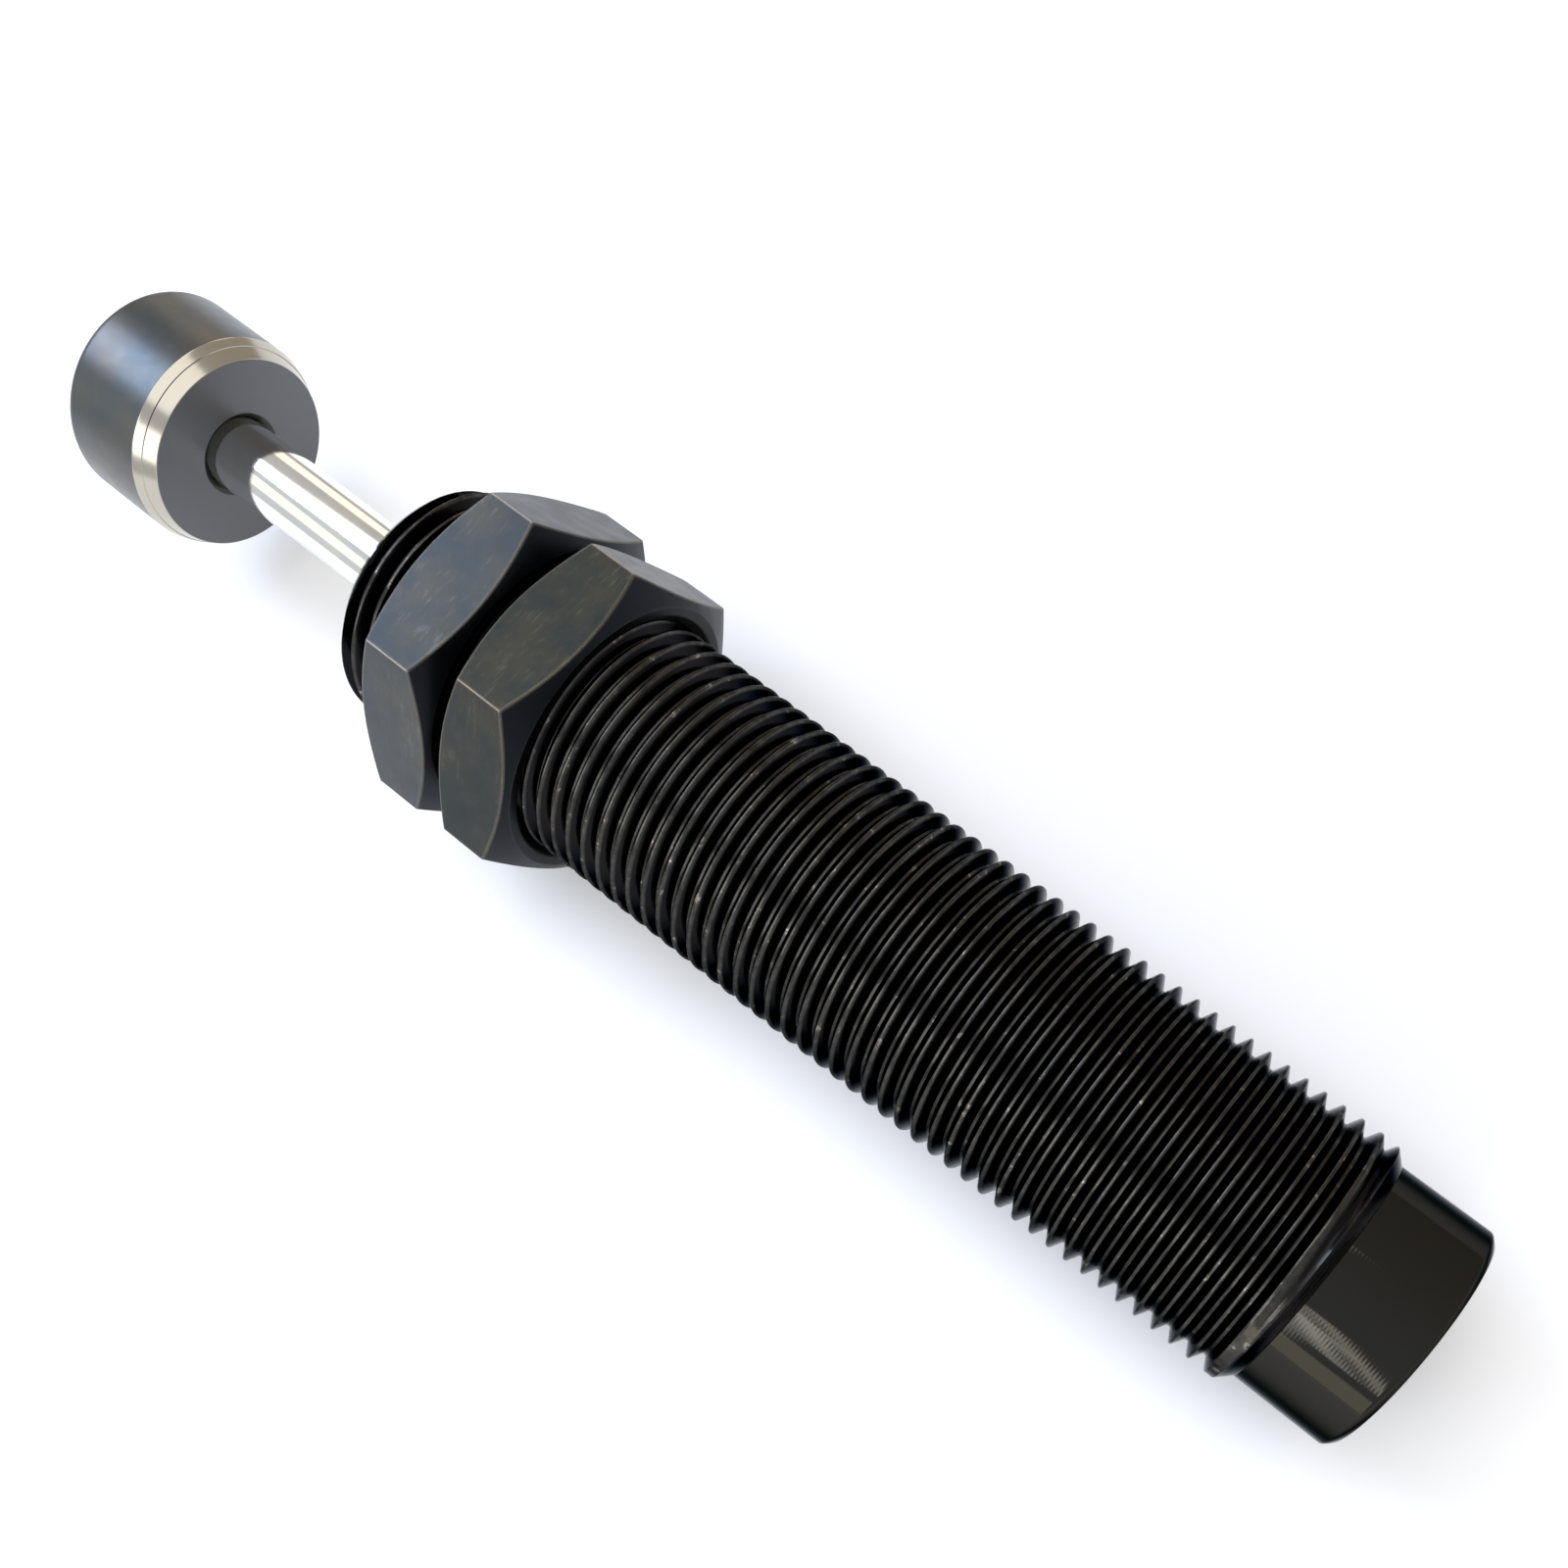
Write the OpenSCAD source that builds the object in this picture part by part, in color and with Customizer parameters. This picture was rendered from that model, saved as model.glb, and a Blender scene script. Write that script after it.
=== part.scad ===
// Self-compensating industrial shock absorber: threaded barrel with two lock nuts,
// a hardened piston rod with a steel strike cap, and the hydraulic works inside.
// The axis is X. X = 0 is the rear face of the rear lock nut, where a bracket seats.
// The rod points to -X, and every length below runs along the axis.

/* [Barrel] */
// Major diameter of the mounting thread
thread_d = 20; // [19:0.1:22]
// Pitch of the mounting thread
thread_pitch = 1.5; // [1:0.25:2]
// Barrel ahead of the bracket seat
front_len = 20.4; // [19:0.1:30]
// Thread behind the bracket seat
thread_len = 64.5; // [64:0.5:90]
// Diameter of the plain tail
tail_d = 18; // [16:0.1:18.2]
// Length of the plain tail
tail_len = 7.5; // [6:0.5:12]
// Bore that holds the hydraulic works
bore_d = 15; // [14.8:0.05:15.4]
// Thickness of the closed end
floor_t = 10; // [9:0.5:12]

/* [Lock nuts] */
// Width across flats
nut_af = 24; // [23:0.5:30]
// Thickness of each nut
nut_t = 7; // [5:0.5:7]
// Gap between the nuts
nut_gap = 1.1; // [0.5:0.1:2]
// Corner of each nut, off the top of the part, one to each side
nut_turn = 26.15; // [0:0.05:30]

/* [Rod and cap] */
// Rod diameter
rod_d = 6; // [5.5:0.1:6]
// Travel of the rod
stroke = 20; // [10:1:20]
// Gap left between cap and barrel at the end of the travel
cap_gap = 2.8; // [1:0.1:5]
// Cap diameter
cap_d = 17.6; // [16:0.1:19]
// Cap length
cap_len = 10; // [9:0.5:14]

/* [Pressure chamber] */
// Inner diameter of the pressure tube
tube_id = 10.5; // [10.4:0.05:10.8]
// Outer diameter of the pressure tube
tube_od = 13; // [12.6:0.1:13.4]
// Diameter of each metering orifice
orifice_d = 0.9; // [0.6:0.1:1.2]
// Diameter of the check ball
ball_d = 3.2; // [3:0.1:3.4]
// Lift of the check ball
ball_lift = 1.2; // [0.4:0.1:1.3]

/* [Return spring] */
// Wire diameter
wire_d = 0.9; // [0.6:0.05:1]
// Mean coil diameter
coil_d = 8.7; // [8.6:0.05:8.8]
// Working coils between the closed end coils
coils = 9; // [6:1:10]

/* [Hidden] */
$fn = 96;
cut = 0.5;      // how far a cutting tool runs past the metal
slip = 0.05;    // radial gap of a part slid into a bore
touch = 0.02;   // gap between pieces that bear on each other
fit = 0.03;     // radial gap of the rod in its bush

black_oxide = [0.07, 0.07, 0.08];
nut_steel = [0.28, 0.29, 0.29];
chrome = [0.85, 0.86, 0.84];
cap_steel = [0.36, 0.38, 0.38];
bright_steel = [0.66, 0.67, 0.68];
bronze = [0.62, 0.46, 0.25];
nitrile = [0.10, 0.10, 0.11];
foam = [0.17, 0.17, 0.18];

// barrel
thread_r = thread_d / 2;
tail_r = tail_d / 2;
bore_r = bore_d / 2;
in_bore_r = bore_r - slip;          // outside of every piece that fills the bore
front_x = -front_len;
tail_x = thread_len + tail_len;
floor_x = tail_x - floor_t;
mouth_chamfer = 1;
thread_depth = 0.6134 * thread_pitch;

// filling port in the closed end
port_r = 1.2;
screw_r = 2.5;
port_seat_x = floor_x + 3;
fill_ball_r = 1.5;
fill_ball_x = port_seat_x + sqrt(pow(fill_ball_r, 2) - pow(port_r, 2)) + touch;
screw_x = fill_ball_x + fill_ball_r + touch;
screw_len = tail_x - screw_x - 0.6;
socket_af = 2.5;

// gland at the front: ring, cover with wiper, guide with seal, bush and O-ring
snap_t = 1;
snap_groove_x = front_x + 1.5;
snap_groove_r = bore_r + 0.6;
snap_x = snap_groove_x + touch;
cover_x = snap_x + snap_t + touch;
cover_t = 3;
guide_x = cover_x + cover_t;
guide_land = 12.5;                  // full-width part of the guide
neck_x = guide_x + guide_land;
neck_len = 10.4;
neck_r = 5;
pocket_r = 5.3;                     // pocket of the wiper and of the rod seal
wiper_depth = 2;
seal_depth = 3.4;
bush_r = 3.9;
bush_x = guide_x + seal_depth + 0.8;
bush_len = 10;
o_ring_r = 0.6;
o_ring_x = guide_x + 6.85;
rod_r = rod_d / 2;
rod_clear_r = rod_r + 0.5;

// pressure tube between its two heads
head_t = 2;
tube_r = tube_id / 2;
tube_x = neck_x + neck_len + head_t;
rear_head_t = 1.8;
tube_end_x = floor_x - rear_head_t;
spigot_len = 1.8;
rear_spigot_len = 2.4;
spring_boss_r = coil_d / 2 - wire_d / 2 - 0.05;
spring_boss_len = 1.2;

// piston, screwed on the rod's stud
piston_x = tube_x + spigot_len + 0.4;
piston_len = 8.6;
piston_end_x = piston_x + piston_len;
piston_r = tube_r - slip;
relief_r = piston_r - 0.3;          // oil passes the front of the piston here
relief_len = 4.6;
stud_r = 2;
stud_len = 2.9;
cross_x = piston_x + 3.9;           // radial oil holes
cross_r = 0.5;
seat_x = piston_x + 5;
seat_r = 0.9;
cage_r = 2.3;
ball_r = ball_d / 2;
ball_x = seat_x + sqrt(pow(ball_r, 2) - pow(seat_r, 2)) + touch;
retainer_r = 3;
retainer_t = 0.7;
retainer_x = ball_x + ball_r + ball_lift + 0.2;
boss_end_x = retainer_x + retainer_t + 0.15;
ring_x = piston_x + 5.6;            // piston ring groove
ring_w = 1.6;
ring_in_r = 4.3;

// return spring
spring_x = piston_end_x + touch;
spring_end_x = tube_end_x - rear_spigot_len - touch;

// cap
cap_r = cap_d / 2;
cap_face_x = front_x - cap_gap - stroke;
cap_x = cap_face_x - cap_len;
rod_x = cap_x + 2;
cap_edge_r = 0.8;

// lock nuts
rear_nut_x = -nut_t;
front_nut_x = rear_nut_x - nut_gap - nut_t;

// Turns a form built on Z to lie on X.
module on_x() {
  rotate([0, 90, 0]) children();
}

// A revolved form: each point is [radius, x].
module turned(points) {
  on_x() rotate_extrude() polygon(points);
}

// A round bar or hole of radius r from x0 to x1.
module bar(r, x0, x1) {
  translate([x0, 0, 0]) on_x() cylinder(h = x1 - x0, r = r);
}

// A washer-like ring.
module sleeve(r_in, r_out, x0, x1) {
  turned([[r_in, x0], [r_out, x0], [r_out, x1], [r_in, x1]]);
}

// Places copies round the axis.
module around(count, start = 0) {
  for (k = [0:count - 1]) rotate([start + k * 360 / count, 0, 0]) children();
}

// One groove of the thread as a ring centred at x: true depth and 60 degree flanks, no helix.
function thread_groove(x) =
  let (root = thread_pitch / 12, top = root + thread_depth * tan(30))
  [[thread_r, x - top], [thread_r - thread_depth, x - root],
   [thread_r - thread_depth, x + root], [thread_r, x + top]];

// Barrel: one turned outline with a chamfered mouth, thread, run-out and plain tail, then bored.
module barrel() {
  run_out = thread_r - tail_r;
  bore_chamfer = 0.4;
  thread_start = front_x + mouth_chamfer;
  threaded = thread_len - run_out - thread_start;
  grooves = floor(threaded / thread_pitch);
  margin = (threaded - grooves * thread_pitch) / 2;
  color(black_oxide) difference() {
    turned([[0, front_x], [thread_r - mouth_chamfer, front_x], [thread_r, thread_start],
            for (k = [0:grooves - 1]) each thread_groove(thread_start + margin + (k + 0.5) * thread_pitch),
            [thread_r, thread_len - run_out], [tail_r, thread_len], [tail_r, tail_x - 0.5],
            [tail_r - 0.5, tail_x], [0, tail_x]]);
    turned([[0, front_x - cut], [bore_r + bore_chamfer + cut, front_x - cut],
            [bore_r, front_x + bore_chamfer], [bore_r, floor_x], [0, floor_x]]);
    bar(snap_groove_r, snap_groove_x, snap_groove_x + snap_t + 0.1);
    bar(port_r, floor_x - cut, port_seat_x + cut);
    turned([[0, port_seat_x], [screw_r, port_seat_x], [screw_r, tail_x - 0.4],
            [screw_r + 0.4 + cut, tail_x + cut], [0, tail_x + cut]]);
  }
}

// Lock nut from x, with a corner at the angle turn off +Z, towards +Y.
module lock_nut(x, turn) {
  corner_r = nut_af / sqrt(3);
  face_r = 0.475 * nut_af;
  bevel = (corner_r - face_r) * tan(30);
  bore = thread_r + slip;
  color(nut_steel) difference() {
    intersection() {
      translate([x, 0, 0]) on_x() rotate([0, 0, -turn]) cylinder(h = nut_t, r = corner_r, $fn = 6);
      turned([[0, x], [face_r, x], [corner_r, x + bevel],
              [corner_r, x + nut_t - bevel], [face_r, x + nut_t], [0, x + nut_t]]);
    }
    turned([[0, x - cut], [bore + 0.6 + cut, x - cut], [bore, x + 0.6],
            [bore, x + nut_t - 0.6], [bore + 0.6 + cut, x + nut_t + cut], [0, x + nut_t + cut]]);
  }
}

module front_lock_nut() {
  lock_nut(front_nut_x, nut_turn);
}

module rear_lock_nut() {
  lock_nut(rear_nut_x, -nut_turn);
}

// Cap: rounded strike face, double chamfer at the back, blind bore pressed on the rod.
module cap() {
  bevel_len = 1.4;
  bevel_depth = 1.1;
  bore_chamfer = 0.5;
  color(cap_steel) difference() {
    translate([cap_x, 0, 0]) on_x() rotate_extrude() difference() {
      union() {
        square([cap_r - cap_edge_r, cap_len]);
        translate([0, cap_edge_r]) square([cap_r, cap_len - cap_edge_r]);
        translate([cap_r - cap_edge_r, cap_edge_r]) circle(r = cap_edge_r);
      }
      translate([cap_r, cap_len]) polygon([[cut, -bevel_len], [0, -bevel_len],
        [-0.45 * bevel_depth, -0.55 * bevel_len], [-0.55 * bevel_depth, -0.55 * bevel_len],
        [-bevel_depth, 0], [-bevel_depth, cut], [cut, cut]]);
      translate([-thread_d, -cut]) square([thread_d, cap_len + 2 * cut]);
    }
    bar(rod_r + touch, rod_x - 0.3, cap_face_x + cut);
    turned([[0, cap_face_x - bore_chamfer], [rod_r, cap_face_x - bore_chamfer],
            [rod_r + bore_chamfer + cut, cap_face_x + cut], [0, cap_face_x + cut]]);
  }
}

// Piston rod: ground bar with a turned-down stud for the piston.
module piston_rod() {
  color(chrome) turned([[0, rod_x], [rod_r - 0.5, rod_x], [rod_r, rod_x + 0.5],
    [rod_r, piston_x], [stud_r, piston_x], [stud_r, piston_x + stud_len - 0.3],
    [stud_r - 0.3, piston_x + stud_len], [0, piston_x + stud_len]]);
}

// Places a copy at each end of the snap ring.
module at_snap_eyes(reach, turn) {
  for (side = [-1, 1]) rotate(180 + side * turn) translate([reach, 0]) children();
}

// Internal snap ring: an open C, open at the top, with an eye at each end.
module retaining_ring() {
  gap_angle = 34;
  eye_turn = gap_angle / 2 + 8;
  in_r = bore_r - 1.1;
  out_r = snap_groove_r - slip;
  color(bright_steel) translate([snap_x, 0, 0]) on_x() linear_extrude(snap_t) difference() {
    union() {
      difference() {
        circle(out_r);
        circle(in_r);
        rotate(180 - gap_angle / 2)
          polygon([[0, 0], [2 * out_r, 0], 2 * out_r * [cos(gap_angle), sin(gap_angle)]]);
      }
      at_snap_eyes(in_r + 0.2, eye_turn) circle(1.25);
    }
    at_snap_eyes(in_r + 0.2, eye_turn) circle(0.5);
  }
}

// Cover: takes the load of the gland and holds the wiper.
module front_cover() {
  color(black_oxide) turned([[rod_clear_r, cover_x + wiper_depth], [pocket_r, cover_x + wiper_depth],
    [pocket_r, cover_x], [in_bore_r - 0.3, cover_x], [in_bore_r, cover_x + 0.3],
    [in_bore_r, guide_x], [rod_clear_r, guide_x]]);
}

// Wiper: a lip that leans forward on the rod and stands just proud of the cover.
module rod_wiper() {
  lip = rod_r + touch;
  color(nitrile) turned([[lip, cover_x - 0.7], [lip + 0.45, cover_x - 0.7],
    [pocket_r - 0.8, cover_x + 0.1], [pocket_r - touch, cover_x + 0.1],
    [pocket_r - touch, cover_x + wiper_depth - touch], [rod_clear_r + 0.2, cover_x + wiper_depth - touch],
    [rod_clear_r + 0.2, cover_x + 0.6], [lip, cover_x - 0.2]]);
}

// Rod seal: a U-cup, open to the oil side.
module rod_seal() {
  lip = rod_r + touch;
  back = guide_x + touch;
  open_x = guide_x + seal_depth - touch;
  color(nitrile) turned([[lip + 0.3, back], [pocket_r - touch, back], [pocket_r - touch, open_x],
    [pocket_r - 0.7, open_x], [(lip + pocket_r) / 2, back + 1.3],
    [lip + 0.65, open_x], [lip, open_x - 0.25], [lip, open_x - 0.6], [lip + 0.3, back + 1.2]]);
}

// Rod guide: seal pocket in front, bush bore, O-ring groove, and a ported neck for the foam.
module rod_guide() {
  groove_half = 0.95;
  color(bright_steel) difference() {
    turned([[0, guide_x], [in_bore_r, guide_x], [in_bore_r, neck_x], [neck_r, neck_x],
            [neck_r, neck_x + neck_len], [0, neck_x + neck_len]]);
    bar(pocket_r, guide_x - cut, guide_x + seal_depth);
    bar(rod_clear_r, guide_x, bush_x + cut);
    bar(bush_r, bush_x, neck_x + neck_len + cut);
    sleeve(bore_r - 2 * o_ring_r - slip, bore_r + cut, o_ring_x - groove_half, o_ring_x + groove_half);
    around(4, 45) translate([neck_x + neck_len / 2, 0, 0]) cylinder(h = neck_r + cut, r = 0.8);
  }
}

module guide_bush() {
  color(bronze) sleeve(rod_r + fit, bush_r - touch, bush_x + touch, bush_x + bush_len);
}

module guide_o_ring() {
  color(nitrile) translate([o_ring_x, 0, 0]) on_x() rotate_extrude()
    translate([bore_r - o_ring_r - touch, 0]) circle(o_ring_r);
}

// Closed-cell foam round the neck: it gives way as the rod takes up room in the oil.
module accumulator_foam() {
  color(foam) sleeve(neck_r + slip, in_bore_r - slip, neck_x + 0.1, neck_x + neck_len - 0.2);
}

// Notches in a head's rim, so that oil flows along the outside of the tube.
module rim_notches(x0, x1) {
  around(6) translate([x0 - cut, 0, in_bore_r + 0.2]) on_x() cylinder(h = x1 - x0 + 2 * cut, r = 1);
}

// Front head: closes the tube round the rod and stops the piston.
module front_head() {
  x0 = tube_x - head_t;
  color(bright_steel) difference() {
    turned([[rod_clear_r, x0], [in_bore_r, x0], [in_bore_r, tube_x], [tube_r - slip, tube_x],
            [tube_r - slip, tube_x + spigot_len], [rod_clear_r, tube_x + spigot_len]]);
    rim_notches(x0, tube_x);
  }
}

// Metering orifices: ever closer towards the end of the stroke, and four return holes in front.
function orifice_x(k) = piston_end_x + stroke * (1 - pow(1 - (k + 0.5) / 6, 1.6)) * 0.98;

module pressure_tube() {
  color(bright_steel) difference() {
    sleeve(tube_r, tube_od / 2, tube_x, tube_end_x);
    for (k = [0:5]) translate([orifice_x(k), 0, 0]) rotate([k * 60, 0, 0])
      cylinder(h = tube_od, r = orifice_d / 2);
    around(4, 45) translate([piston_x + 1.2, 0, 0]) cylinder(h = tube_od, r = 0.8);
  }
}

// Piston: ring groove, radial oil holes, and a ball cage at the back.
module piston() {
  color(bronze) difference() {
    turned([[0, piston_x], [relief_r - 0.3, piston_x], [relief_r, piston_x + 0.3],
            [relief_r, piston_x + relief_len], [piston_r, piston_x + relief_len],
            [piston_r, piston_end_x], [spring_boss_r, piston_end_x],
            [spring_boss_r, boss_end_x], [0, boss_end_x]]);
    bar(stud_r + touch, piston_x - cut, piston_x + stud_len + 0.1);
    bar(seat_r, cross_x, seat_x + cut);
    bar(cage_r, seat_x, boss_end_x + cut);
    bar(retainer_r, retainer_x, boss_end_x + cut);
    sleeve(ring_in_r, piston_r + cut, ring_x, ring_x + ring_w);
    around(4) translate([cross_x, 0, 0]) cylinder(h = piston_r + cut, r = cross_r);
  }
}

module piston_ring() {
  joint_gap = 0.5;
  color(nitrile) difference() {
    sleeve(ring_in_r + slip, tube_r - touch, ring_x + touch, ring_x + ring_w - touch);
    translate([ring_x - cut, -joint_gap / 2, 0]) cube([ring_w + 2 * cut, joint_gap, tube_r + cut]);
  }
}

module check_ball() {
  color(chrome) translate([ball_x, 0, 0]) sphere(ball_r);
}

// Perforated washer that keeps the check ball in its cage.
module ball_retainer() {
  color(bright_steel) difference() {
    bar(retainer_r - touch, retainer_x, retainer_x + retainer_t);
    around(4, 45) translate([retainer_x - cut, 0, 1.75]) on_x() cylinder(h = retainer_t + 2 * cut, r = 0.6);
  }
}

// Rear head: closes the tube, seats the spring and lets filling oil through.
module rear_head() {
  spigot_x = tube_end_x - rear_spigot_len;
  color(bright_steel) difference() {
    turned([[port_r, spigot_x - spring_boss_len], [spring_boss_r - 0.3, spigot_x - spring_boss_len],
            [spring_boss_r, spigot_x - spring_boss_len + 0.3], [spring_boss_r, spigot_x],
            [tube_r - slip, spigot_x], [tube_r - slip, tube_end_x], [in_bore_r, tube_end_x],
            [in_bore_r, floor_x - touch], [port_r, floor_x - touch]]);
    rim_notches(tube_end_x, floor_x);
  }
}

// How far the wire has climbed after t turns: close-wound for the first and last turn.
function wire_climb(t, close, open) = close * min(t, 1) + open * min(max(t - 1, 0), coils)
  + close * max(t - 1 - coils, 0);

// Return spring: a round wire swept along a helix, its closed ends ground flat.
module return_spring() {
  steps = 20;       // sections per turn
  sides = 8;        // sides of the wire's section
  ground = 0.3;     // ground off each end
  centre_r = coil_d / 2;
  wire_r = wire_d / 2;
  close_pitch = wire_d + 0.04;
  climb = spring_end_x - spring_x + 2 * ground - wire_d;
  open_pitch = (climb - 2 * close_pitch) / coils;
  count = steps * (coils + 2);
  points = [for (i = [0:count], s = [0:sides - 1])
    let (a = 360 * i / steps, b = 360 * s / sides, r = centre_r + wire_r * cos(b))
    [wire_climb(i / steps, close_pitch, open_pitch) + wire_r * sin(b), r * sin(a), r * cos(a)]];
  skin = [for (i = [0:count - 1], s = [0:sides - 1])
    let (a = i * sides + s, b = i * sides + (s + 1) % sides)
    each [[a, b, a + sides], [b, b + sides, a + sides]]];
  ends = [[for (s = [sides - 1:-1:0]) s], [for (s = [0:sides - 1]) count * sides + s]];
  color(bright_steel) intersection() {
    translate([spring_x - ground + wire_r, 0, 0]) polyhedron(points, concat(skin, ends));
    bar(tube_r, spring_x, spring_end_x);
  }
}

module fill_ball() {
  color(chrome) translate([fill_ball_x, 0, 0]) sphere(fill_ball_r);
}

// Filling screw: a set screw with a hexagon socket, sunk in the tail.
module fill_screw() {
  end_x = screw_x + screw_len;
  r = screw_r - slip;
  color(bright_steel) difference() {
    turned([[0, screw_x], [r - 0.5, screw_x], [r, screw_x + 0.5],
            [r, end_x - 0.3], [r - 0.3, end_x], [0, end_x]]);
    translate([end_x - 2, 0, 0]) on_x() cylinder(h = 2 + cut, r = socket_af / sqrt(3), $fn = 6);
  }
}

barrel();
front_lock_nut();
rear_lock_nut();
cap();
piston_rod();
retaining_ring();
front_cover();
rod_wiper();
rod_seal();
rod_guide();
guide_bush();
guide_o_ring();
accumulator_foam();
front_head();
pressure_tube();
piston();
piston_ring();
check_ball();
ball_retainer();
return_spring();
rear_head();
fill_ball();
fill_screw();
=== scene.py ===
import math

import bmesh
import bpy
from mathutils import Matrix, Quaternion, Vector


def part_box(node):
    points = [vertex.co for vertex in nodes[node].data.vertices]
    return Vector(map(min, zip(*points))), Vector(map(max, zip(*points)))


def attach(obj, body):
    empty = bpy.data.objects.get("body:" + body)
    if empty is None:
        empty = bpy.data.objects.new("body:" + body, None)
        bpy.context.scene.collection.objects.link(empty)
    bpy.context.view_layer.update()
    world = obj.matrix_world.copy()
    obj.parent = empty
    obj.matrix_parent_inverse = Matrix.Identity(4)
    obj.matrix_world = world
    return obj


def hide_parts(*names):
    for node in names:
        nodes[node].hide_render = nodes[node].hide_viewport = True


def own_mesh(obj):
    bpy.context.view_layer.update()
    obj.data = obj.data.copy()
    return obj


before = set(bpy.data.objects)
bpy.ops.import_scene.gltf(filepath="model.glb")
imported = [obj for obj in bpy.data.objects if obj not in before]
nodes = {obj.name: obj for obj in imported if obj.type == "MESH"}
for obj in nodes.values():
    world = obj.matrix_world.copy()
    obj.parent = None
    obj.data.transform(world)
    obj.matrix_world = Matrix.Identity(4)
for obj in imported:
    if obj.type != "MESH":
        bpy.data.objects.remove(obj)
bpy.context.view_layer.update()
scene = bpy.context.scene

# ---------------------------------------------------------------- camera
# A short lens close above the absorber, looking down its length from the tail end.
# The body runs from the cap at the upper left to the tail at the lower right.
camera = bpy.data.objects.new("camera", bpy.data.cameras.new("camera"))
scene.collection.objects.link(camera)
scene.camera = camera
camera.location = (0.0556, -0.02211, 0.10178)
aim = Vector((0.03276, -0.00992, 0.0))
roll = Quaternion((0, 0, 1), math.radians(-22.75))
straight = (aim - camera.location).to_track_quat("-Z", "Y")
camera.rotation_euler = (straight @ roll).to_euler()
camera.data.lens = 33.77
camera.data.sensor_width = 36.0
camera.data.shift_x = -0.05
camera.data.shift_y = 0.2
camera.data.clip_start = 0.002
camera.data.clip_end = 10.0


# ---------------------------------------------------------------- floor and light
# A pale sheet that the absorber lies on: it rests on two nut corners and on the thread.
# Large soft boxes hang over and beside it, and narrow panes on its left glance off the tail.
def colour(code):
    """sRGB hex value as a linear colour."""
    parts = [int(code[i:i + 2], 16) / 255 for i in (1, 3, 5)]
    return [p / 12.92 if p <= 0.04045 else ((p + 0.055) / 1.055) ** 2.4 for p in parts] + [1.0]


def add_node(tree, kind, settings=None, links=None):
    """Adds a node with its settings and its links, and returns it."""
    node = tree.nodes.new(kind)
    for key, value in (settings or {}).items():
        if isinstance(key, int) or key in node.inputs:
            node.inputs[key].default_value = value
        else:
            setattr(node, key, value)
    for key, source in (links or {}).items():
        socket = source.outputs[0] if isinstance(source, bpy.types.Node) else source
        tree.links.new(socket, node.inputs[key])
    return node


def start_material(name, base, metallic, roughness):
    """A material with its shader set, and the pattern's place on the piece in metres."""
    material = bpy.data.materials.new(name)
    material.use_nodes = True
    tree = material.node_tree
    shader = tree.nodes["Principled BSDF"]
    shader.inputs["Base Color"].default_value = colour(base)
    shader.inputs["Metallic"].default_value = metallic
    shader.inputs["Roughness"].default_value = roughness
    place = add_node(tree, "ShaderNodeTexCoord").outputs["Object"]
    return material, tree, shader, place


floor_size = 1.2
floor_up = Vector((-0.03539, 0.0235, 1.0))
floor_height = -0.0123
floor_mesh = bmesh.new()
bmesh.ops.create_grid(floor_mesh, x_segments=2, y_segments=2, size=floor_size)
floor_tilt = floor_up.to_track_quat("Z", "Y").to_matrix().to_4x4()
bmesh.ops.transform(floor_mesh, matrix=Matrix.Translation((0, 0, floor_height)) @ floor_tilt,
                    verts=floor_mesh.verts)
floor_data = bpy.data.meshes.new("floor")
floor_mesh.to_mesh(floor_data)
floor_mesh.free()
floor = bpy.data.objects.new("floor", floor_data)
scene.collection.objects.link(floor)
# Matt white card: it bounces a lot of light back under the piece.
card, _, _, _ = start_material("white_card", "#FBFBFB", 0.0, 0.9)
floor_data.materials.append(card)

# Each soft box: where it stands seen from the piece, its width and height, its brightness, its tint.
middle = Vector((0.01, 0.0, 0.0))
stand_off = 0.5
soft_boxes = [
    ("top_box", (-0.34, 0.08, 0.93), 0.50, 0.50, 1.4, "#FCFCFF"),
    ("front_box", (-0.79, -0.05, 0.61), 0.22, 0.15, 9.5, "#CCDCFF"),
    ("right_box", (-0.66, 0.70, 0.26), 0.26, 0.16, 1.5, "#D8CCBC"),
    ("cream_box", (-0.66, -0.62, 0.42), 0.22, 0.16, 0.7, "#FFFCE4"),
    ("left_box", (-0.22, -0.84, 0.50), 0.46, 0.26, 2.6, "#F8FAFF"),
    ("tail_box", (0.24, -0.96, 0.16), 0.12, 0.14, 1.8, "#F2EAD0"),
    ("tail_pane_1", (0.21, -0.77, 0.60), 0.015, 0.22, 4.5, "#FFFAF6"),
    ("tail_pane_2", (0.256, -0.76, 0.595), 0.014, 0.22, 4.5, "#FFFAF0"),
]
for name, direction, width, height, brightness, tint in soft_boxes:
    lamp = bpy.data.lights.new(name, "AREA")
    lamp.shape = "RECTANGLE"
    lamp.size = width
    lamp.size_y = height
    lamp.energy = brightness * math.pi * width * height
    lamp.color = colour(tint)[:3]
    box = bpy.data.objects.new(name, lamp)
    scene.collection.objects.link(box)
    towards = Vector(direction).normalized()
    box.location = middle + stand_off * towards
    box.rotation_euler = towards.to_track_quat("Z", "Y").to_euler()

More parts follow.
